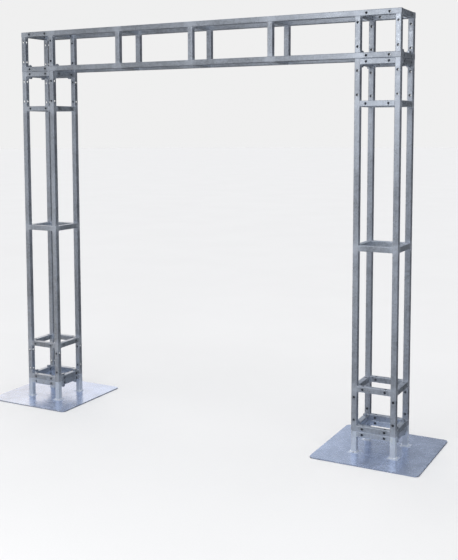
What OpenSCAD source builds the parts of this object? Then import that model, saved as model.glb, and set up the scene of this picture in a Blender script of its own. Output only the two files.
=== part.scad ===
// Goal-post arch of square-tube truss: a beam section lying across two column
// sections, each column bolted to a flat base plate with a short welded stub.
// Millimetres, +Z up. The origin is on the floor under the middle of the arch,
// X runs along the beam and -Y is the front.

/* [Section] */
// outer width of the square truss section
section_w = 200; // [160:10:300]
// outer width of the square tube
tube_w = 25; // [20:1:30]
// wall thickness of the tube
wall = 2; // [1.5:0.5:3]
// outside corner radius of the tube
tube_r = 3; // [1.5:0.5:4]

/* [Arch] */
// length of the beam section
beam_length = 2000; // [1400:50:3000]
// height of each column section
column_h = 1600; // [1000:50:2600]

/* [Drilling] */
// diameter of the cross-drilled bolt holes
hole_d = 11; // [9:0.5:12]
// distance of the holes from the outer edges of the section
hole_inset = 50; // [45:1:60]

/* [Base] */
// side of the square base plate
plate_side = 480; // [400:10:600]
// thickness of the base plate
plate_t = 5; // [4:1:10]
// corner radius of the base plate
plate_r = 20; // [5:1:40]
// height of the stub above the plate
stub_h = 95; // [80:5:160]

/* [Fasteners] */
// shank diameter of the bolts
bolt_d = 10; // [8:1:10]
// length of the bolt shank under the head
bolt_length = 65; // [65:5:80]
// width across the flats of the bolt heads and nuts
hex_w = 17; // [13:1:18]
// height of the bolt head
head_h = 6.4; // [5:0.2:8]
// height of the nut
nut_h = 8; // [6:0.5:10]
// outside diameter of the washers
washer_d = 20; // [18:1:22]
// thickness of the washers
washer_t = 2; // [1.5:0.5:3]

/* [Hidden] */

$fn = 48;
EPS = 0.5;

LEFT = -1;
RIGHT = 1;
FRONT = -1;
REAR = 1;
OUTER = 1;
INNER = -1;

// distance from the section's axis to the centre line of its corner tubes
tube_off = (section_w - tube_w) / 2;
// clear length of a bar welded between two corner tubes
bar_length = section_w - 2 * tube_w;
bar_holes = [hole_inset - tube_w, bar_length - hole_inset + tube_w];
// stations of the holes along a corner tube, in the square bay at one end
bay_holes = [hole_inset, section_w - hole_inset];

base_h = plate_t + stub_h;
beam_z = base_h + column_h;
column_x = (beam_length - section_w) / 2;

// frame stations of a column, measured from its foot
column_frame_z = [
    tube_w / 2,
    section_w - tube_w / 2,
    column_h / 2,
    column_h - section_w + tube_w / 2,
    column_h - tube_w / 2
];
// frame stations of the beam, measured from its middle
beam_end_x = beam_length / 2 - tube_w / 2;
beam_bay_x = beam_length / 2 - section_w + tube_w / 2;

// closing plates set flush into the open ends of tubes
cap_t = 2;
cap_gap = 0.3;
cap_w = tube_w - 2 * wall - 2 * cap_gap;

// the joint bolts use the upright holes of the side bars
bolt_y = section_w / 2 - hole_inset;
nut_bore = bolt_d + 0.2;
washer_bore = bolt_d + 0.5;
shank_chamfer = 1;

zinc = "#aab3bf";
zinc_pale = "#b7c0ca";
zinc_plate = "#9fb0c6";
bolt_zinc = "#c9ccd0";

// the stations s and their mirror images on a member of length l
function both_ends(s, l) = [s[0], s[1], l - s[1], l - s[0]];

// square outline with rounded corners, centred
module round_square(w, r) {
    union() {
        square([w - 2 * r, w], center = true);
        square([w, w - 2 * r], center = true);
        for (x = [-1, 1], y = [-1, 1])
            translate([x * (w / 2 - r), y * (w / 2 - r)])
                circle(r);
    }
}

// square tube standing on z = 0, drilled at each station right through along Y
// and, along X, through the walls on the listed sides
module square_tube(length, stations, x_walls = [LEFT, RIGHT]) {
    difference() {
        linear_extrude(length)
            difference() {
                round_square(tube_w, tube_r);
                round_square(tube_w - 2 * wall, max(tube_r - wall, 0.5));
            }
        for (z = stations)
            translate([0, 0, z]) {
                rotate([90, 0, 0])
                    cylinder(d = hole_d, h = tube_w + 2 * EPS, center = true);
                for (x = x_walls)
                    rotate([0, x * 90, 0])
                        cylinder(d = hole_d, h = tube_w / 2 + EPS);
            }
    }
}

// four bars welded between the corner tubes, in the XY plane; the two along X are
// drilled through their top and bottom only if they are cross-drilled
module square_frame(stations, cross_drilled = true) {
    for (y = [FRONT, REAR])
        translate([-bar_length / 2, y * tube_off, 0])
            rotate([0, 90, 0])
                square_tube(bar_length, stations, cross_drilled ? [LEFT, RIGHT] : []);
    for (x = [LEFT, RIGHT])
        translate([x * tube_off, -bar_length / 2, 0])
            rotate([-90, 0, 0])
                square_tube(bar_length, stations);
}

// closing plate whose outer face lies on z = 0
module tube_cap() {
    translate([0, 0, -cap_t])
        linear_extrude(cap_t)
            round_square(cap_w, 1);
}

// four closing plates, one in each corner tube
module corner_caps() {
    for (x = [LEFT, RIGHT], y = [FRONT, REAR])
        translate([x * tube_off, y * tube_off, 0])
            tube_cap();
}

// ---- beam ----

module beam_chord(y, z) {
    color(zinc)
        translate([-beam_length / 2, y * tube_off, beam_z + section_w / 2 + z * tube_off])
            rotate([0, 90, 0])
                square_tube(beam_length, both_ends(bay_holes, beam_length));
}

// the uprights of a bay frame are drilled from front to rear only
module beam_frame(x, stations, cross_drilled = true) {
    color(zinc_pale)
        translate([x, 0, beam_z + section_w / 2])
            rotate([0, 90, 0])
                square_frame(stations, cross_drilled);
}

module beam_end_caps(side) {
    color(zinc)
        translate([side * beam_length / 2, 0, beam_z + section_w / 2])
            rotate([0, side * 90, 0])
                corner_caps();
}

// ---- columns ----

// a corner place of the column or base on one side of the arch
module at_corner(side, y, place) {
    translate([side * (column_x + place * tube_off), y * tube_off, 0])
        children();
}

// an inner post is drilled along X through the wall that faces the archway only
module column_post(side, y, place) {
    x_walls = place == OUTER ? [LEFT, RIGHT] : [-side];
    color(zinc)
        at_corner(side, y, place)
            translate([0, 0, base_h])
                square_tube(column_h, both_ends(bay_holes, column_h), x_walls);
}

module column_frame(side, level, stations) {
    color(zinc_pale)
        translate([side * column_x, 0, base_h + column_frame_z[level]])
            square_frame(stations);
}

// ---- bases ----

module base_plate(side) {
    color(zinc_plate)
        translate([side * column_x, 0, 0])
            linear_extrude(plate_t)
                round_square(plate_side, plate_r);
}

module base_leg(side, y, place) {
    color(zinc)
        at_corner(side, y, place)
            translate([0, 0, plate_t])
                square_tube(stub_h, []);
}

module base_ring(side) {
    color(zinc_pale)
        translate([side * column_x, 0, base_h - tube_w / 2])
            square_frame(bar_holes);
}

module base_leg_caps(side) {
    color(zinc)
        translate([side * column_x, 0, base_h])
            corner_caps();
}

// ---- fasteners ----

// four places on the side bars of the section, on the joint plane z; the bolts
// of a base go in from above and those of the beam from below
module at_bolts(side, z) {
    for (x = [LEFT, RIGHT], y = [FRONT, REAR])
        translate([side * column_x + x * tube_off, y * bolt_y, z])
            mirror([0, 0, z == beam_z ? 1 : 0])
                children();
}

// hexagonal prism standing on z = 0, with its upper corners turned off
module hex_prism(height) {
    corner_d = hex_w / cos(30);
    intersection() {
        cylinder(d = corner_d, h = height, $fn = 6);
        cylinder(d1 = hex_w * 0.98 + 4 * height, d2 = hex_w * 0.98, h = height);
    }
}

module bolt() {
    translate([0, 0, tube_w + washer_t]) {
        hex_prism(head_h);
        translate([0, 0, -bolt_length + shank_chamfer])
            cylinder(d = bolt_d, h = bolt_length - shank_chamfer + EPS);
        translate([0, 0, -bolt_length])
            cylinder(d1 = bolt_d - 2 * shank_chamfer, d2 = bolt_d, h = shank_chamfer);
    }
}

module washer_pair() {
    for (z = [tube_w, -tube_w - washer_t])
        translate([0, 0, z])
            difference() {
                cylinder(d = washer_d, h = washer_t);
                translate([0, 0, -EPS])
                    cylinder(d = washer_bore, h = washer_t + 2 * EPS);
            }
}

module nut() {
    translate([0, 0, -tube_w - washer_t])
        mirror([0, 0, 1])
            difference() {
                hex_prism(nut_h);
                translate([0, 0, -EPS])
                    cylinder(d = nut_bore, h = nut_h + 2 * EPS);
            }
}

module joint_bolts(side, z) {
    color(bolt_zinc) at_bolts(side, z) bolt();
}

module joint_washers(side, z) {
    color(bolt_zinc) at_bolts(side, z) washer_pair();
}

module joint_nuts(side, z) {
    color(bolt_zinc) at_bolts(side, z) nut();
}

beam_chord(FRONT, -1);  // beam_chord_front_lower
beam_chord(FRONT, 1);  // beam_chord_front_upper
beam_chord(REAR, -1);  // beam_chord_rear_lower
beam_chord(REAR, 1);  // beam_chord_rear_upper
beam_frame(-beam_end_x, bar_holes);  // beam_frame_left_end
beam_frame(-beam_bay_x, bar_holes, false);  // beam_frame_left_bay
beam_frame(-beam_bay_x / 2, []);  // beam_frame_left_middle
beam_frame(0, []);  // beam_frame_centre
beam_frame(beam_bay_x / 2, []);  // beam_frame_right_middle
beam_frame(beam_bay_x, bar_holes, false);  // beam_frame_right_bay
beam_frame(beam_end_x, bar_holes);  // beam_frame_right_end
beam_end_caps(LEFT);  // beam_end_caps_left
beam_end_caps(RIGHT);  // beam_end_caps_right
column_post(LEFT, FRONT, OUTER);  // left_column_post_front_outer
column_post(LEFT, FRONT, INNER);  // left_column_post_front_inner
column_post(LEFT, REAR, OUTER);  // left_column_post_rear_outer
column_post(LEFT, REAR, INNER);  // left_column_post_rear_inner
column_frame(LEFT, 0, bar_holes);  // left_column_frame_bottom
column_frame(LEFT, 1, bar_holes);  // left_column_frame_lower
column_frame(LEFT, 2, []);  // left_column_frame_middle
column_frame(LEFT, 3, bar_holes);  // left_column_frame_upper
column_frame(LEFT, 4, bar_holes);  // left_column_frame_top
column_post(RIGHT, FRONT, OUTER);  // right_column_post_front_outer
column_post(RIGHT, FRONT, INNER);  // right_column_post_front_inner
column_post(RIGHT, REAR, OUTER);  // right_column_post_rear_outer
column_post(RIGHT, REAR, INNER);  // right_column_post_rear_inner
column_frame(RIGHT, 0, bar_holes);  // right_column_frame_bottom
column_frame(RIGHT, 1, bar_holes);  // right_column_frame_lower
column_frame(RIGHT, 2, []);  // right_column_frame_middle
column_frame(RIGHT, 3, bar_holes);  // right_column_frame_upper
column_frame(RIGHT, 4, bar_holes);  // right_column_frame_top
base_plate(LEFT);  // left_base_plate
base_ring(LEFT);  // left_base_ring
base_leg_caps(LEFT);  // left_base_leg_caps
base_leg(LEFT, FRONT, OUTER);  // left_base_leg_front_outer
base_leg(LEFT, FRONT, INNER);  // left_base_leg_front_inner
base_leg(LEFT, REAR, OUTER);  // left_base_leg_rear_outer
base_leg(LEFT, REAR, INNER);  // left_base_leg_rear_inner
base_plate(RIGHT);  // right_base_plate
base_ring(RIGHT);  // right_base_ring
base_leg_caps(RIGHT);  // right_base_leg_caps
base_leg(RIGHT, FRONT, OUTER);  // right_base_leg_front_outer
base_leg(RIGHT, FRONT, INNER);  // right_base_leg_front_inner
base_leg(RIGHT, REAR, OUTER);  // right_base_leg_rear_outer
base_leg(RIGHT, REAR, INNER);  // right_base_leg_rear_inner
joint_bolts(LEFT, base_h);  // left_base_joint_bolts
joint_washers(LEFT, base_h);  // left_base_joint_washers
joint_nuts(LEFT, base_h);  // left_base_joint_nuts
joint_bolts(RIGHT, base_h);  // right_base_joint_bolts
joint_washers(RIGHT, base_h);  // right_base_joint_washers
joint_nuts(RIGHT, base_h);  // right_base_joint_nuts
joint_bolts(LEFT, beam_z);  // left_beam_joint_bolts
joint_washers(LEFT, beam_z);  // left_beam_joint_washers
joint_nuts(LEFT, beam_z);  // left_beam_joint_nuts
joint_bolts(RIGHT, beam_z);  // right_beam_joint_bolts
joint_washers(RIGHT, beam_z);  // right_beam_joint_washers
joint_nuts(RIGHT, beam_z);  // right_beam_joint_nuts
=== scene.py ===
import math
import random

import bmesh
import bpy
from mathutils import Matrix, Vector


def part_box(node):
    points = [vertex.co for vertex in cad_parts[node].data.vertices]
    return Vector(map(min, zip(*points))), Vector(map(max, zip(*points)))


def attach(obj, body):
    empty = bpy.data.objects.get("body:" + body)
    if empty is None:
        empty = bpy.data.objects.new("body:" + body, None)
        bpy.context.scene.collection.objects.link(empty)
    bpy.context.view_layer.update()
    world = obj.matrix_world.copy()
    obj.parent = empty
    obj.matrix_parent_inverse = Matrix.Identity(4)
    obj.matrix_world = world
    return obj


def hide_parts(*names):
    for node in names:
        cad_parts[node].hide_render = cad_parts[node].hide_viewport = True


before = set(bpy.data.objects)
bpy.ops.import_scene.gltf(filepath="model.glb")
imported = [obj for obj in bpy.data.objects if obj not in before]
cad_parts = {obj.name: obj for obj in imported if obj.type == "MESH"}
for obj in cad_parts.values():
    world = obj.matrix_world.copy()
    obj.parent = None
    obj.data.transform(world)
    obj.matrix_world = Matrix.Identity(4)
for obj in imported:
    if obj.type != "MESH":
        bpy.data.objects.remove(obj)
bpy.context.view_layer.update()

# A free-standing arch of galvanised square-tube truss. The CAD solids get worn zinc and broken
# edges here, and the welds and the bolts' threads are added round them.


# ---------------------------------------------------------------- sizes (metres)

_, plate_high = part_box("right_base_plate")
leg_low, leg_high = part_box("right_base_leg_front_outer")
_, chord_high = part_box("beam_chord_rear_upper")
ring_low, ring_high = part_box("right_base_ring")

TUBE = leg_high.x - leg_low.x
SECTION = ring_high.x - ring_low.x
COLUMN_X = (ring_low.x + ring_high.x) / 2
BEAM_Z = chord_high.z - SECTION / 2
PLATE_TOP = plate_high.z
TUBE_OFF = (SECTION - TUBE) / 2
BAR_HALF = SECTION / 2 - TUBE

FRAME_LEVELS = ["bottom", "lower", "middle", "upper", "top"]
BEAM_STATIONS = ["left_end", "left_bay", "left_middle", "centre",
                 "right_middle", "right_bay", "right_end"]
SIDES = {"left": -1, "right": 1}

SEED = 41


def middle(node):
    """The centre of a CAD node's box."""
    low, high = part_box(node)
    return (low + high) / 2


# ---------------------------------------------------------------- shader helper

class Graph:
    """A shader whose nodes are added and linked in one call each."""

    def __init__(self, name):
        self.material = bpy.data.materials.new(name)
        self.material.use_nodes = True
        self.tree = self.material.node_tree
        self.tree.nodes.clear()
        self.output = self.tree.nodes.new("ShaderNodeOutputMaterial")
        self.shader = self.tree.nodes.new("ShaderNodeBsdfPrincipled")
        self.tree.links.new(self.shader.outputs[0], self.output.inputs[0])

    @classmethod
    def of_tree(cls, tree):
        """The same calls for a world's tree, which has no surface shader."""
        made = cls.__new__(cls)
        made.tree = tree
        made.tree.nodes.clear()
        made.output = tree.nodes.new("ShaderNodeOutputWorld")
        return made

    def feed(self, socket, value):
        """Links a socket to another, or sets its value."""
        if isinstance(value, bpy.types.NodeSocket):
            self.tree.links.new(value, socket)
        else:
            socket.default_value = value

    def add(self, kind, inputs, out=0, **settings):
        """Adds a node, feeds its inputs and returns one of its outputs."""
        made = self.tree.nodes.new(kind)
        for key, value in settings.items():
            setattr(made, key, value)
        for key, value in inputs.items():
            self.feed(made.inputs[key], value)
        return made.outputs[out]

    def math(self, operation, a, b=0.0):
        return self.add("ShaderNodeMath", {0: a, 1: b}, operation=operation)

    def object_coords(self):
        made = self.tree.nodes.new("ShaderNodeTexCoord")
        return made.outputs["Object"]

    def xyz(self, vector):
        made = self.tree.nodes.new("ShaderNodeSeparateXYZ")
        self.tree.links.new(vector, made.inputs[0])
        return made.outputs

    def scaled(self, vector, scale, shift=(0, 0, 0)):
        return self.add("ShaderNodeMapping", {"Vector": vector, "Scale": scale, "Location": shift})

    def noise(self, vector, scale, detail=3.0, roughness=0.55):
        return self.add("ShaderNodeTexNoise", {
            "Vector": vector, "Scale": scale, "Detail": detail, "Roughness": roughness})

    def cells(self, vector, scale):
        """A random grey value for each grain of a crystalline surface."""
        colour = self.add("ShaderNodeTexVoronoi", {"Vector": vector, "Scale": scale},
                          out="Color")
        return self.add("ShaderNodeSeparateColor", {0: colour}, out=0)

    def scratches(self, vector, stretch, turn):
        """1 on scattered fine scratches, 0 elsewhere; turn is their lean in radians."""
        leaning = self.add("ShaderNodeMapping", {"Vector": vector, "Rotation": turn})
        stretched = self.scaled(leaning, stretch)
        return self.spread(self.noise(stretched, 1.0, 1.0), 0.71, 0.75)

    def spread(self, value, low, high, to_low=0.0, to_high=1.0):
        """Takes low..high smoothly to to_low..to_high, and holds it beyond them."""
        return self.add("ShaderNodeMapRange", {
            "Value": value, "From Min": low, "From Max": high,
            "To Min": to_low, "To Max": to_high}, interpolation_type="SMOOTHSTEP")

    def total(self, *values):
        result = values[0]
        for value in values[1:]:
            result = self.math("ADD", result, value)
        return result

    def mix(self, factor, a, b, blend="MIX"):
        made = self.tree.nodes.new("ShaderNodeMix")
        made.data_type = "RGBA"
        made.blend_type = blend
        self.feed(made.inputs[0], factor)
        self.feed(made.inputs[6], a)
        self.feed(made.inputs[7], b)
        return made.outputs[2]

    def shade(self, colour, value):
        """The colour times a grey value."""
        grey = self.add("ShaderNodeCombineColor", {0: value, 1: value, 2: value})
        return self.mix(1.0, colour, grey, "MULTIPLY")

    def bump(self, height, strength, distance, under=None):
        inputs = {"Height": height, "Strength": strength, "Distance": distance}
        if under is not None:
            inputs["Normal"] = under
        return self.add("ShaderNodeBump", inputs)

    def finish(self, colour, roughness, metallic, normal=None):
        self.feed(self.shader.inputs["Base Color"], colour)
        self.feed(self.shader.inputs["Roughness"], roughness)
        self.feed(self.shader.inputs["Metallic"], metallic)
        if normal is not None:
            self.feed(self.shader.inputs["Normal"], normal)
        return self.material


def rgb(red, green, blue):
    return (red, green, blue, 1.0)


# ---------------------------------------------------------------- materials

ZINC = rgb(0.50, 0.545, 0.615)
ZINC_PALE = rgb(0.66, 0.70, 0.75)
ZINC_DULL = rgb(0.30, 0.33, 0.38)
ZINC_FRESH = rgb(0.74, 0.80, 0.90)
SOOT = rgb(0.26, 0.26, 0.28)
SHEET = rgb(0.61, 0.70, 0.90)
SHEET_BLOOM = rgb(0.74, 0.78, 0.84)
SHEET_SPOT = rgb(0.33, 0.36, 0.42)
SHEET_SCUFF = rgb(0.40, 0.43, 0.48)
SHEET_RUBBED = rgb(0.80, 0.84, 0.90)
PLATING = rgb(0.52, 0.57, 0.64)
PLATING_WORN = rgb(0.30, 0.31, 0.33)
STREAK_FINE = 420.0
STREAK_LONG = 9.0
TUBE_METALLIC = 0.78
PLATE_METALLIC = 0.76

# How well the cold zinc of a repair hides the metal under it, at a bar and at a foot.
BAR_COVER = 0.26
FOOT_COVER = 0.70


def corner_mask(g):
    """1 on the rounded corners of a tube, 0 on its flat faces."""
    normal = g.tree.nodes.new("ShaderNodeTexCoord").outputs["Normal"]
    parts = g.xyz(normal)
    sizes = [g.math("ABSOLUTE", parts[i]) for i in range(3)]
    largest = g.math("MAXIMUM", g.math("MAXIMUM", sizes[0], sizes[1]), sizes[2])
    return g.spread(largest, 0.99, 0.80)


def section_place(g, place):
    """Distances across the column from its axis, for either column, and the height."""
    x, y, z = g.xyz(place)
    return g.math("SUBTRACT", g.math("ABSOLUTE", x), COLUMN_X), y, z


def zinc_surface(g, place, streaks, seed, tone):
    """Colour, roughness and height of weathered galvanised tube. tone scales how light the
    zinc is, and streaks are the scales of the drawing lines along the three axes."""
    moved = g.scaled(place, (1, 1, 1), (seed * 3.1, seed * 1.7, seed * 2.3))
    broad = g.noise(moved, 3.2, 2.0)
    patch = g.noise(moved, 21.0, 5.0, 0.62)
    mottle = g.noise(moved, 95.0, 4.0, 0.6)
    grain = g.noise(moved, 1400.0, 2.0)
    spangle = g.cells(moved, 125.0)
    line = g.noise(g.scaled(moved, streaks), 1.0, 4.0, 0.65)
    scratch = g.spread(g.noise(g.scaled(moved, [3.0 * s for s in streaks]), 0.55, 2.0), 0.62, 0.66)
    rubbed = g.total(
        g.scratches(moved, (900.0, 900.0, 42.0), (0.5, 0.3, 0.2)),
        g.scratches(moved, (42.0, 900.0, 900.0), (0.2, 0.4, 0.7)))
    speck = g.spread(g.noise(moved, 380.0, 2.0), 0.69, 0.74)
    drip = g.spread(g.noise(g.scaled(moved, (60, 60, 7)), 1.0, 3.0), 0.60, 0.74)
    corner = corner_mask(g)

    value = g.total(
        g.spread(broad, 0.30, 0.70, 0.85 * tone, 1.12 * tone),
        g.spread(patch, 0.30, 0.72, -0.08, 0.09),
        g.spread(mottle, 0.30, 0.70, -0.05, 0.05),
        g.spread(spangle, 0.0, 1.0, -0.07, 0.07),
        g.spread(line, 0.30, 0.70, -0.10, 0.10),
        # The rounded corners are made lighter in colour, which is a painted highlight; the
        # roughness drop there is separate.
        g.math("MULTIPLY", corner, 0.12))
    colour = g.shade(ZINC, value)
    colour = g.mix(g.math("MULTIPLY", g.spread(patch, 0.56, 0.74), 0.28), colour, ZINC_PALE)
    colour = g.mix(g.math("MULTIPLY", drip, 0.35), colour, ZINC_DULL)
    colour = g.mix(g.math("MULTIPLY", scratch, 0.5), colour, ZINC_PALE)
    colour = g.mix(g.math("MULTIPLY", rubbed, 0.5), colour, ZINC_PALE)
    colour = g.mix(g.math("MULTIPLY", speck, 0.55), colour, ZINC_DULL)

    roughness = g.total(
        g.spread(patch, 0.30, 0.72, 0.36, 0.52),
        g.spread(spangle, 0.0, 1.0, -0.05, 0.05),
        g.spread(line, 0.25, 0.75, -0.05, 0.05),
        g.math("MULTIPLY", g.total(scratch, rubbed), -0.12),
        g.math("MULTIPLY", corner, -0.06))
    height = g.total(
        g.math("MULTIPLY", line, 0.35),
        g.math("MULTIPLY", grain, 0.25),
        g.math("MULTIPLY", mottle, 0.5),
        g.math("MULTIPLY", g.total(scratch, rubbed), -0.4))
    return colour, roughness, height


def repaired_zinc(g, place, colour, near, cover):
    """Cold zinc dabbed over a weld, where near rises from 0 to 1, with specks of soot.
    cover is how well it hides the metal under it."""
    speck = g.spread(g.noise(place, 230.0, 3.0), 0.60, 0.70)
    dabbed = g.mix(g.math("MULTIPLY", g.spread(near, 0.0, 0.8), cover), colour, ZINC_FRESH)
    return g.mix(g.math("MULTIPLY", g.math("MULTIPLY", near, speck), 0.35), dabbed, SOOT)


def duller_near(g, near, metallic, cover):
    """Cold zinc is a paint, so it reflects less like bare metal."""
    return g.math("SUBTRACT", metallic, g.math("MULTIPLY", near, 0.65 * cover))


def tube_material(name, streaks, seed, tone, weld_place=None, metallic=TUBE_METALLIC,
                  cover=BAR_COVER):
    """Galvanised tube; weld_place(g, place) rises to 1 where its welds were repaired."""
    g = Graph(name)
    place = g.object_coords()
    colour, roughness, height = zinc_surface(g, place, streaks, seed, tone)
    if weld_place is not None:
        near = weld_place(g, place)
        colour = repaired_zinc(g, place, colour, near, cover)
        metallic = duller_near(g, near, metallic, cover)
    normal = g.bump(height, 0.32, 0.0004)
    return g.finish(colour, roughness, metallic, normal)


def near_bar_ends(g, place, first, second):
    """0 along a bar, rising to 1 at the two welds where it meets the corner tubes. first and
    second are the distances across the section from its axis."""
    inner = g.math("MINIMUM", g.math("ABSOLUTE", first), g.math("ABSOLUTE", second))
    wander = g.math("MULTIPLY", g.noise(place, 160.0, 3.0), 0.008)
    return g.spread(g.math("ADD", inner, wander), BAR_HALF - 0.012, BAR_HALF + 0.004)


def near_beam_bar_ends(g, place):
    """Rises to 1 at the ends of the beam's bars."""
    _, y, z = g.xyz(place)
    return near_bar_ends(g, place, y, g.math("SUBTRACT", z, BEAM_Z))


def near_column_bar_ends(g, place):
    """Rises to 1 at the ends of the bars of a column or a stub."""
    across, y, _ = section_place(g, place)
    return near_bar_ends(g, place, across, y)


def near_stations(g, along, place, stations):
    """Rises to 1 where a corner tube passes one of the frames welded to it."""
    wander = g.math("MULTIPLY", g.math("SUBTRACT", g.noise(place, 60.0, 4.0), 0.5), 0.040)
    wavy = g.math("ADD", along, wander)
    nearest = g.math("ABSOLUTE", g.math("SUBTRACT", wavy, stations[0]))
    for station in stations[1:]:
        distance = g.math("ABSOLUTE", g.math("SUBTRACT", wavy, station))
        nearest = g.math("MINIMUM", nearest, distance)
    return g.spread(nearest, TUBE / 2 + 0.030, TUBE / 2 - 0.010)


def near_beam_frames(g, place):
    """Rises to 1 on a chord at each frame of the beam."""
    stations = [middle("beam_frame_" + name).x for name in BEAM_STATIONS]
    return near_stations(g, g.xyz(place)[0], place, stations)


def near_column_frames(g, place):
    """Rises to 1 on a post at each frame of the column."""
    stations = [middle("right_column_frame_" + name).z for name in FRAME_LEVELS]
    return near_stations(g, g.xyz(place)[2], place, stations)


def near_plate(g, place):
    """Rises to 1 where a leg meets the base plate."""
    _, _, z = g.xyz(place)
    wander = g.math("MULTIPLY", g.noise(place, 130.0, 3.0), 0.010)
    return g.spread(g.math("SUBTRACT", z, wander), PLATE_TOP + 0.080, PLATE_TOP + 0.005)


def plate_material():
    """Smooth bluish galvanised sheet, scuffed, with repaired zinc round the legs."""
    g = Graph("zinc_plate")
    place = g.object_coords()
    across, y, _ = section_place(g, place)
    broad = g.noise(place, 5.0, 3.0)
    cloud = g.noise(place, 26.0, 5.0, 0.6)
    spangle = g.cells(g.scaled(place, (1, 1, 1), (0.3, 0.1, 0)), 150.0)
    fine = g.noise(place, 700.0, 3.0)
    rubbed = g.total(
        g.scratches(place, (700.0, 26.0, 26.0), (0.0, 0.0, 0.5)),
        g.scratches(place, (30.0, 800.0, 30.0), (0.0, 0.0, 0.9)),
        g.scratches(place, (800.0, 24.0, 24.0), (0.0, 0.0, -0.3)))
    rolled = g.noise(g.scaled(place, (7, 240, 7)), 1.0, 4.0)
    scuff = g.spread(g.noise(g.scaled(place, (260, 24, 1)), 1.0, 2.0), 0.67, 0.73)
    spots = g.spread(g.noise(place, 60.0, 2.0), 0.64, 0.76)

    value = g.total(
        g.spread(broad, 0.30, 0.70, 0.90, 1.08),
        g.spread(cloud, 0.30, 0.70, -0.06, 0.06),
        g.spread(spangle, 0.0, 1.0, -0.03, 0.03),
        g.spread(rolled, 0.30, 0.70, -0.03, 0.03))
    bloom = g.spread(cloud, 0.55, 0.72)
    colour = g.shade(SHEET, value)
    colour = g.mix(g.math("MULTIPLY", bloom, 0.22), colour, SHEET_BLOOM)
    colour = g.mix(g.math("MULTIPLY", spots, 0.30), colour, SHEET_SPOT)
    colour = g.mix(g.math("MULTIPLY", scuff, 0.25), colour, SHEET_SCUFF)
    colour = g.mix(g.math("MULTIPLY", rubbed, 0.25), colour, SHEET_RUBBED)

    wall_x = g.math("ABSOLUTE", g.math("SUBTRACT", g.math("ABSOLUTE", across), TUBE_OFF))
    wall_y = g.math("ABSOLUTE", g.math("SUBTRACT", g.math("ABSOLUTE", y), TUBE_OFF))
    from_leg = g.math("SUBTRACT", g.math("MAXIMUM", wall_x, wall_y), TUBE / 2)
    wander = g.math("MULTIPLY", g.noise(place, 110.0, 3.0), 0.012)
    near_leg = g.spread(g.math("SUBTRACT", from_leg, wander), 0.011, -0.004)
    colour = repaired_zinc(g, place, colour, near_leg, FOOT_COVER)

    roughness = g.total(
        g.spread(cloud, 0.30, 0.70, 0.19, 0.30),
        g.spread(spangle, 0.0, 1.0, -0.02, 0.02),
        g.math("MULTIPLY", near_leg, 0.22),
        g.math("MULTIPLY", scuff, 0.12),
        g.math("MULTIPLY", spots, 0.10))
    height = g.total(
        g.math("MULTIPLY", cloud, 0.7),
        g.math("MULTIPLY", rolled, 0.15),
        g.math("MULTIPLY", fine, 0.05),
        g.math("MULTIPLY", scuff, -0.25))
    normal = g.bump(height, 0.18, 0.0005)
    return g.finish(colour, roughness, duller_near(g, near_leg, PLATE_METALLIC, FOOT_COVER), normal)


def weld_material(name, bright, metallic):
    """Weld metal: bluish silver with darker and sooty patches."""
    g = Graph(name)
    place = g.object_coords()
    tone = g.noise(place, 240.0, 3.0)
    soot = g.noise(place, 70.0, 4.0)
    fine = g.noise(place, 1500.0, 3.0)
    value = g.total(
        g.spread(tone, 0.30, 0.70, 0.75, 1.15),
        g.spread(fine, 0.30, 0.70, -0.08, 0.08))
    colour = g.shade(rgb(bright * 0.94, bright, bright * 1.10), value)
    colour = g.mix(g.math("MULTIPLY", g.spread(soot, 0.56, 0.72), 0.45), colour, SOOT)
    roughness = g.spread(tone, 0.30, 0.70, 0.26, 0.50)
    return g.finish(colour, roughness, metallic, g.bump(fine, 0.35, 0.0003))


def fastener_material():
    """Bright zinc plating with handling marks."""
    g = Graph("bright_zinc")
    place = g.object_coords()
    tone = g.noise(place, 180.0, 4.0)
    turned = g.noise(g.scaled(place, (90, 90, 1900)), 1.0, 3.0)
    worn = g.spread(g.noise(place, 420.0, 3.0), 0.56, 0.70)
    # The corner mask makes the plating lighter on rounded corners, which is a painted highlight.
    value = g.total(
        g.spread(tone, 0.30, 0.70, 0.85, 1.10),
        g.spread(turned, 0.30, 0.70, -0.08, 0.08),
        g.math("MULTIPLY", corner_mask(g), 0.12))
    colour = g.shade(PLATING, value)
    colour = g.mix(g.math("MULTIPLY", worn, 0.35), colour, PLATING_WORN)
    roughness = g.total(g.spread(tone, 0.30, 0.70, 0.30, 0.44), g.math("MULTIPLY", worn, 0.15))
    height = g.total(turned, g.math("MULTIPLY", tone, 0.5))
    return g.finish(colour, roughness, 0.9, g.bump(height, 0.25, 0.0002))


ALONG_X = (STREAK_LONG, STREAK_FINE, STREAK_FINE)
ALONG_Z = (STREAK_FINE, STREAK_FINE, STREAK_LONG)
EVEN = (90.0, 90.0, 90.0)

# Each kind of part has its own tone. The chords' lower tone is painted shade; the legs and the ring
# are lighter.
chord_zinc = tube_material("zinc_tube_chord", ALONG_X, 1, 0.90, near_beam_frames)
post_zinc = tube_material("zinc_tube_post", ALONG_Z, 2, 1.05, near_column_frames)
leg_zinc = tube_material("zinc_tube_leg", ALONG_Z, 3, 1.60, near_plate,
                         metallic=0.50, cover=FOOT_COVER)
cap_zinc = tube_material("zinc_tube_cap", EVEN, 4, 1.0)
beam_bar_zinc = tube_material("zinc_bar_beam", EVEN, 5, 1.0, near_beam_bar_ends)
bar_zinc = tube_material("zinc_bar_column", EVEN, 6, 1.08, near_column_bar_ends)
ring_zinc = tube_material("zinc_bar_ring", EVEN, 7, 1.44, near_column_bar_ends)
plate_zinc = plate_material()
weld_zinc = weld_material("weld_bar", bright=0.55, metallic=0.45)
foot_weld_zinc = weld_material("weld_foot", bright=0.95, metallic=0.25)
bolt_zinc = fastener_material()

FASTENERS = ("_bolts", "_washers", "_nuts")


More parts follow.
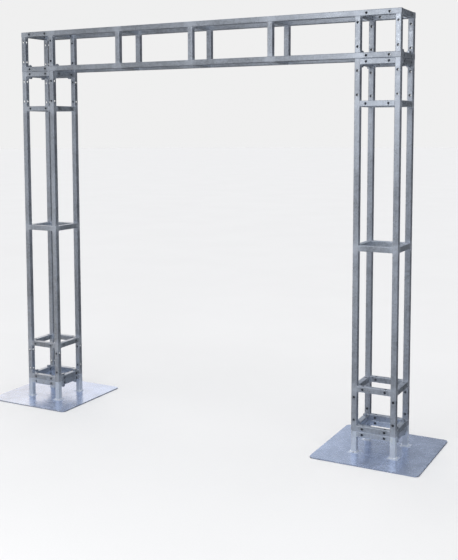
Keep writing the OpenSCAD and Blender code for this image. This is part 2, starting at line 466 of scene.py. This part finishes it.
def material_of(name):
    """The material of a CAD node, from its name."""
    if name.endswith(FASTENERS):
        return bolt_zinc
    if name.endswith("_plate"):
        return plate_zinc
    if "_caps" in name:
        return cap_zinc
    if "_leg_" in name:
        return leg_zinc
    if name.endswith("_ring"):
        return ring_zinc
    if "_chord_" in name:
        return chord_zinc
    if "_post_" in name:
        return post_zinc
    return beam_bar_zinc if name.startswith("beam_") else bar_zinc


for name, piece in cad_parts.items():
    piece.data.materials.clear()
    piece.data.materials.append(material_of(name))


# ---------------------------------------------------------------- broken edges

PLATE_EDGE = 0.0006
TUBE_EDGE = 0.0003
EDGE_ANGLE = math.radians(50)


def break_edges(piece, width):
    """Rounds the cut edges and the mouths of the holes."""
    bevel = piece.modifiers.new("edge", "BEVEL")
    bevel.width = width
    bevel.segments = 2
    bevel.limit_method = "ANGLE"
    bevel.angle_limit = EDGE_ANGLE
    bevel.harden_normals = True


for name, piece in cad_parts.items():
    if not name.endswith(FASTENERS):
        break_edges(piece, PLATE_EDGE if name.endswith("_plate") else TUBE_EDGE)


# ---------------------------------------------------------------- welds

# Every bead is a tube of BEAD_SIDES sides swept round the outline of a bar or a leg. The
# shares of its radius say how far ripples, a slow waver and chance change its thickness.
BEAD_SIDES = 7
STEPS_PER_RIPPLE = 3
STEADY_SHARE = 0.86
RIPPLE_SHARE = 0.12
WAVER_SHARE = 0.08
WAVER_RATE = 0.21
CHANCE_SHARE = 0.03
ARC_STEPS = 4

# The beads at the ends of the bars. A flush bead stays inside the faces of the bar.
RIPPLE = 0.0024
BEAD_R = 0.0022
BEAD_CORNER = 0.002
BEAD_LIFT = 0.0006
FLUSH = TUBE / 2 - 0.0026
PROUD = TUBE / 2

# The fillets at the feet, and the drops of spatter round them.
FOOT_BEAD_R = 0.0050
FOOT_BEAD_STEP = 0.0011
FOOT_CORNER = 0.003
FOOT_LIFT = 0.0008
SPATTER_COUNT = 14
SPATTER_REACH = 0.020
SPATTER_SCATTER = 0.012
DROP_SMALL = 0.0004
DROP_LARGE = 0.0010

X = Vector((1, 0, 0))
Y = Vector((0, 1, 0))
Z = Vector((0, 0, 1))


def rounded_rectangle(low_a, high_a, low_b, high_b, corner, step):
    """Points round a rectangle with rounded corners, each with its outward direction."""
    arcs = [(high_a - corner, high_b - corner, 0), (low_a + corner, high_b - corner, 90),
            (low_a + corner, low_b + corner, 180), (high_a - corner, low_b + corner, 270)]
    points = []
    for index, (a, b, start) in enumerate(arcs):
        for i in range(ARC_STEPS + 1):
            angle = math.radians(start + 90 * i / ARC_STEPS)
            out = (math.cos(angle), math.sin(angle))
            points.append((a + corner * out[0], b + corner * out[1], out))
        next_a, next_b, _ = arcs[(index + 1) % 4]
        angle = math.radians(start + 90)
        out = (math.cos(angle), math.sin(angle))
        first = (a + corner * out[0], b + corner * out[1])
        last = (next_a + corner * out[0], next_b + corner * out[1])
        count = max(1, round(math.dist(first, last) / step))
        for i in range(1, count):
            t = i / count
            points.append((first[0] + (last[0] - first[0]) * t,
                           first[1] + (last[1] - first[1]) * t, out))
    return points


def bead(mesh, origin, a_axis, b_axis, n_axis, outline, radius, rng):
    """A closed rippled weld bead along an outline; n_axis crosses the outline's plane."""
    rings = []
    phase = rng.uniform(0, math.tau)
    lump = rng.uniform(0, math.tau)
    for index, (a, b, out) in enumerate(outline):
        ripple = abs(math.sin(math.pi * index / STEPS_PER_RIPPLE + phase))
        waver = math.sin(index * WAVER_RATE + lump)
        chance = rng.uniform(-CHANCE_SHARE, CHANCE_SHARE)
        size = radius * (STEADY_SHARE + RIPPLE_SHARE * ripple + waver * WAVER_SHARE + chance)
        centre = origin + a_axis * a + b_axis * b
        outward = a_axis * out[0] + b_axis * out[1]
        ring = []
        for side in range(BEAD_SIDES):
            angle = math.tau * side / BEAD_SIDES
            offset = outward * math.cos(angle) + n_axis * math.sin(angle)
            ring.append(mesh.verts.new(centre + offset * size))
        rings.append(ring)
    for index, ring in enumerate(rings):
        following = rings[(index + 1) % len(rings)]
        for side in range(BEAD_SIDES):
            other = (side + 1) % BEAD_SIDES
            mesh.faces.new((ring[side], ring[other], following[other], following[side]))


def make_piece(name, mesh, material):
    """Turns a finished bmesh into a piece that rides on the only body."""
    data = bpy.data.meshes.new(name)
    mesh.to_mesh(data)
    mesh.free()
    data.materials.append(material)
    piece = bpy.data.objects.new(name, data)
    bpy.context.scene.collection.objects.link(piece)
    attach(piece, "root")
    return piece


def make_weld(name, mesh, material):
    """A weld is smooth all over."""
    bmesh.ops.recalc_face_normals(mesh, faces=mesh.faces)
    for face in mesh.faces:
        face.smooth = True
    return make_piece(name, mesh, material)


def frame_welds(name, centre, normal, first, second, open_low, open_high, rng):
    """The beads at both ends of the four bars of a square frame. normal is the corner
    tubes' direction; a bead stands proud on the faces where those tubes run on."""
    low = -PROUD if open_low else -FLUSH
    high = PROUD if open_high else FLUSH
    mesh = bmesh.new()
    for along, across in ((first, second), (second, first)):
        for side in (-1, 1):
            for end in (-1, 1):
                origin = (centre + across * (side * TUBE_OFF)
                          + along * (end * (BAR_HALF + BEAD_LIFT)))
                outline = rounded_rectangle(-FLUSH, FLUSH, low, high, BEAD_CORNER,
                                            RIPPLE / STEPS_PER_RIPPLE)
                bead(mesh, origin, across, normal, along, outline, BEAD_R, rng)
    return make_weld(name, mesh, weld_zinc)


def foot_welds(side_name, side, rng):
    """Heavier fillets round the feet of the legs, with a little spatter on the plate."""
    mesh = bmesh.new()
    for x in (-1, 1):
        for y in (-1, 1):
            origin = Vector((side * COLUMN_X + x * TUBE_OFF, y * TUBE_OFF, PLATE_TOP + FOOT_LIFT))
            outline = rounded_rectangle(-PROUD, PROUD, -PROUD, PROUD, FOOT_CORNER,
                                        FOOT_BEAD_STEP)
            bead(mesh, origin, X, Y, Z, outline, FOOT_BEAD_R, rng)
            for _ in range(SPATTER_COUNT):
                angle = rng.uniform(0, math.tau)
                reach = SPATTER_REACH + abs(rng.gauss(0, SPATTER_SCATTER))
                place = origin + Vector((math.cos(angle), math.sin(angle), 0)) * reach
                place.z = PLATE_TOP
                bmesh.ops.create_icosphere(
                    mesh, subdivisions=1, radius=rng.uniform(DROP_SMALL, DROP_LARGE),
                    matrix=Matrix.Translation(place))
    return make_weld(side_name + "_base_foot_welds", mesh, foot_weld_zinc)


rng = random.Random(SEED)
for station in BEAM_STATIONS:
    frame_welds("beam_welds_" + station, middle("beam_frame_" + station), X, Y, Z,
                station != "left_end", station != "right_end", rng)
for side_name, side in SIDES.items():
    for level in FRAME_LEVELS:
        centre = middle(f"{side_name}_column_frame_{level}")
        frame_welds(f"{side_name}_column_welds_{level}", centre, Z, X, Y,
                    level != "bottom", level != "top", rng)
    centre = middle(side_name + "_base_ring")
    frame_welds(side_name + "_base_ring_welds", centre, Z, X, Y, True, False, rng)
    foot_welds(side_name, side, rng)


# ---------------------------------------------------------------- bolts

BOLT_R = 0.005
THREAD_PITCH = 0.0015
THREAD_DEPTH = 0.0008
THREAD_LENGTH = 0.022
RING_STEP = THREAD_PITCH / 5
TIP_LENGTH = 0.001
HEX_TURN = math.radians(60)
HEAD_CHAMFER = math.radians(28)
HEAD_FLAT = 0.475
BOLT_SIDES = 36
HEAD_RINGS = 4


def hex_radius(angle, across_flats):
    """How far the side of a hexagon with a corner at angle 0 is from its centre."""
    from_flat = angle % HEX_TURN - HEX_TURN / 2
    return across_flats / 2 / math.cos(from_flat)


def bolt_rings(low, under_head, top, across_flats):
    """Height and radius functions of the rings of one bolt, from its tip to its head."""
    rings = []
    thread_top = low + THREAD_LENGTH
    steps = round(THREAD_LENGTH / RING_STEP)
    for i in range(steps + 1):
        z = low + i * RING_STEP
        tip = min(1.0, (z - low) / TIP_LENGTH)
        runout = min(1.0, (thread_top - z) / THREAD_PITCH)

        def radius(angle, z=z, tip=tip, runout=runout):
            phase = (z / THREAD_PITCH - angle / math.tau) % 1.0
            groove = THREAD_DEPTH * abs(2 * phase - 1) * runout
            return BOLT_R - groove - TIP_LENGTH * (1 - tip)

        rings.append((lambda angle, z=z: z, radius))
    flat_r = across_flats * HEAD_FLAT

    def shoulder(angle):
        return top - max(0.0, hex_radius(angle, across_flats) - flat_r) * math.tan(HEAD_CHAMFER)

    def side(angle):
        return hex_radius(angle, across_flats)

    rings.append((lambda angle: under_head, lambda angle: BOLT_R))
    rings.append((lambda angle: under_head, side))
    rings.append((shoulder, side))
    rings.append((lambda angle: top, lambda angle: flat_r))
    return rings


def add_bolt(mesh, origin, up, rings):
    """One bolt of the given rings; up is 1 with its head on top and -1 when turned over."""
    angles = [math.tau * i / BOLT_SIDES for i in range(BOLT_SIDES)]
    loops = []
    for height, radius in rings:
        offsets = [Vector((radius(a) * math.cos(a), up * radius(a) * math.sin(a), up * height(a)))
                   for a in angles]
        loops.append([mesh.verts.new(origin + offset) for offset in offsets])
    last_threaded = len(loops) - HEAD_RINGS - 1
    for index, (below, above) in enumerate(zip(loops, loops[1:])):
        for i in range(BOLT_SIDES):
            j = (i + 1) % BOLT_SIDES
            face = mesh.faces.new((below[i], below[j], above[j], above[i]))
            face.smooth = index < last_threaded
    mesh.faces.new(loops[0][::-1])
    mesh.faces.new(loops[-1])


def joint_bolts(side_name, side, joint):
    """Hex bolts with a cut thread, in place of the plain ones of one joint."""
    node = f"{side_name}_{joint}_joint"
    bolts_low, bolts_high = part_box(node + "_bolts")
    washers_low, washers_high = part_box(node + "_washers")
    nuts_low, nuts_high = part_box(node + "_nuts")
    across_corners = nuts_high.x - nuts_low.x - 2 * TUBE_OFF
    across_flats = across_corners * math.cos(HEX_TURN / 2)
    bolt_y = (nuts_high.y - nuts_low.y - across_flats) / 2
    plane = (washers_low.z + washers_high.z) / 2
    above = bolts_high.z - plane
    below = plane - bolts_low.z
    # A bolt's tip reaches farther from the joint than its head does.
    up = 1 if above < below else -1
    rings = bolt_rings(-max(above, below), washers_high.z - plane, min(above, below), across_flats)
    mesh = bmesh.new()
    for x in (-TUBE_OFF, TUBE_OFF):
        for y in (-bolt_y, bolt_y):
            add_bolt(mesh, Vector((side * COLUMN_X + x, y, plane)), up, rings)
    piece = make_piece(node + "_hex_bolts", mesh, bolt_zinc)
    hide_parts(node + "_bolts")


for side_name, side in SIDES.items():
    for joint in ("base", "beam"):
        joint_bolts(side_name, side, joint)


# ---------------------------------------------------------------- floor and light

FLOOR_R = 60
FLOOR_DROP = 0.0005
FLOOR_SUN = 2.3
BACKDROP = rgb(0.87, 0.87, 0.87)
LIGHT_BASE = 0.062
LIGHT_BACK_LEFT = 1.05
LIGHT_FRONT = 0.12
LIGHT_UP = 0.30
LIGHT_FLOOR_FRONT = 0.30
KEY_PLACE = (0.15, -2.9, 2.3)
KEY_TARGET = (0.8, 0, 1.4)
KEY_SIZE = 1.6
KEY_POWER = 15
FILL_PLACE = (-2.8, -2.4, 1.5)
FILL_TARGET = (-0.8, 0, 0.9)
FILL_SIZE = 2.0
FILL_POWER = 4
FILL_COLOUR = (0.90, 0.95, 1.0)
SUN_SPREAD = math.radians(80)


def floor_material():
    """Plain matt pale floor."""
    g = Graph("floor_pale")
    place = g.object_coords()
    cloud = g.noise(place, 1.3, 4.0)
    fine = g.noise(place, 160.0, 3.0)
    value = g.total(g.spread(cloud, 0.30, 0.70, 0.993, 1.007),
                    g.spread(fine, 0.30, 0.70, -0.01, 0.01))
    colour = g.shade(rgb(0.80, 0.80, 0.80), value)
    g.shader.inputs["Specular IOR Level"].default_value = 0.0
    return g.finish(colour, 1.0, 0.0, g.bump(fine, 0.1, 0.0005))


bpy.ops.mesh.primitive_circle_add(
    vertices=96, radius=FLOOR_R, fill_type="NGON", location=(0, 0, -FLOOR_DROP))
floor = bpy.context.object
floor.name = "floor"
floor.data.materials.append(floor_material())
floor.visible_glossy = False


def area_light(name, place, target, size, power, colour=(1, 1, 1)):
    """A round soft lamp aimed at a target, hidden from the camera."""
    data = bpy.data.lights.new(name, "AREA")
    data.shape = "DISK"
    data.size = size
    data.energy = power
    data.color = colour
    lamp = bpy.data.objects.new(name, data)
    lamp.location = place
    lamp.rotation_mode = "QUATERNION"
    lamp.rotation_quaternion = (Vector(target) - Vector(place)).to_track_quat("-Z", "Y")
    lamp.visible_camera = False
    bpy.context.scene.collection.objects.link(lamp)
    return lamp


area_light("key", KEY_PLACE, KEY_TARGET, KEY_SIZE, KEY_POWER)
area_light("fill", FILL_PLACE, FILL_TARGET, FILL_SIZE, FILL_POWER, FILL_COLOUR)

# This lamp points straight down. It lifts the floor, and stays out of the reflections.
sun_data = bpy.data.lights.new("overhead", "SUN")
sun_data.energy = FLOOR_SUN
sun_data.angle = SUN_SPREAD
sun = bpy.data.objects.new("overhead", sun_data)
sun.visible_glossy = False
bpy.context.scene.collection.objects.link(sun)


def studio_world():
    """Soft light that depends on direction: bright behind on the left, darker behind on the
    right and below. The camera itself sees an even pale backdrop."""
    world = bpy.data.worlds.new("studio")
    world.use_nodes = True
    g = Graph.of_tree(world.node_tree)
    direction = g.tree.nodes.new("ShaderNodeTexCoord").outputs["Generated"]
    x, y, z = g.xyz(direction)
    above = g.spread(z, -0.12, 0.12)
    left = g.spread(x, -0.12, -0.62)
    behind = g.spread(y, 0.0, 0.5)
    front = g.spread(y, 0.1, -0.7)
    up = g.spread(z, 0.25, 0.95)
    overhead = g.total(
        g.math("MULTIPLY", g.math("MULTIPLY", left, behind), LIGHT_BACK_LEFT),
        g.math("MULTIPLY", front, LIGHT_FRONT),
        g.math("MULTIPLY", up, LIGHT_UP))
    ground = g.math("MULTIPLY", front, LIGHT_FLOOR_FRONT)
    level = g.total(
        LIGHT_BASE,
        g.math("MULTIPLY", above, overhead),
        g.math("MULTIPLY", g.math("SUBTRACT", 1.0, above), ground))
    tint = g.mix(g.spread(x, -0.42, -0.68), rgb(0.90, 0.95, 1.04), rgb(1.05, 0.93, 0.80))
    colour = g.shade(tint, level)
    seen = g.tree.nodes.new("ShaderNodeLightPath").outputs["Is Camera Ray"]
    light = g.add("ShaderNodeBackground", {"Color": g.mix(seen, colour, BACKDROP)})
    g.tree.links.new(light, g.output.inputs["Surface"])
    return world


bpy.context.scene.world = studio_world()
bpy.context.scene.view_settings.view_transform = "Standard"


# ---------------------------------------------------------------- camera

# The place, the turn and the lens were fitted to the photograph's perspective.
EYE = Vector((2.1219, -3.7038, 1.4127))
YAW = math.radians(28.045)
PITCH = math.radians(-5.003)
ROLL = math.radians(-0.123)
LENS = 57.68
SENSOR = 36
SHIFT_Y = -0.1316
FARTHEST = 200

camera_data = bpy.data.cameras.new("camera")
camera_data.sensor_width = SENSOR
camera_data.lens = LENS
camera_data.shift_y = SHIFT_Y
camera_data.clip_end = FARTHEST
camera = bpy.data.objects.new("camera", camera_data)
bpy.context.scene.collection.objects.link(camera)
camera.rotation_mode = "XYZ"
camera.matrix_world = (
    Matrix.Translation(EYE)
    @ Matrix.Rotation(YAW, 4, "Z")
    @ Matrix.Rotation(math.radians(90) + PITCH, 4, "X")
    @ Matrix.Rotation(ROLL, 4, "Z"))
bpy.context.scene.camera = camera
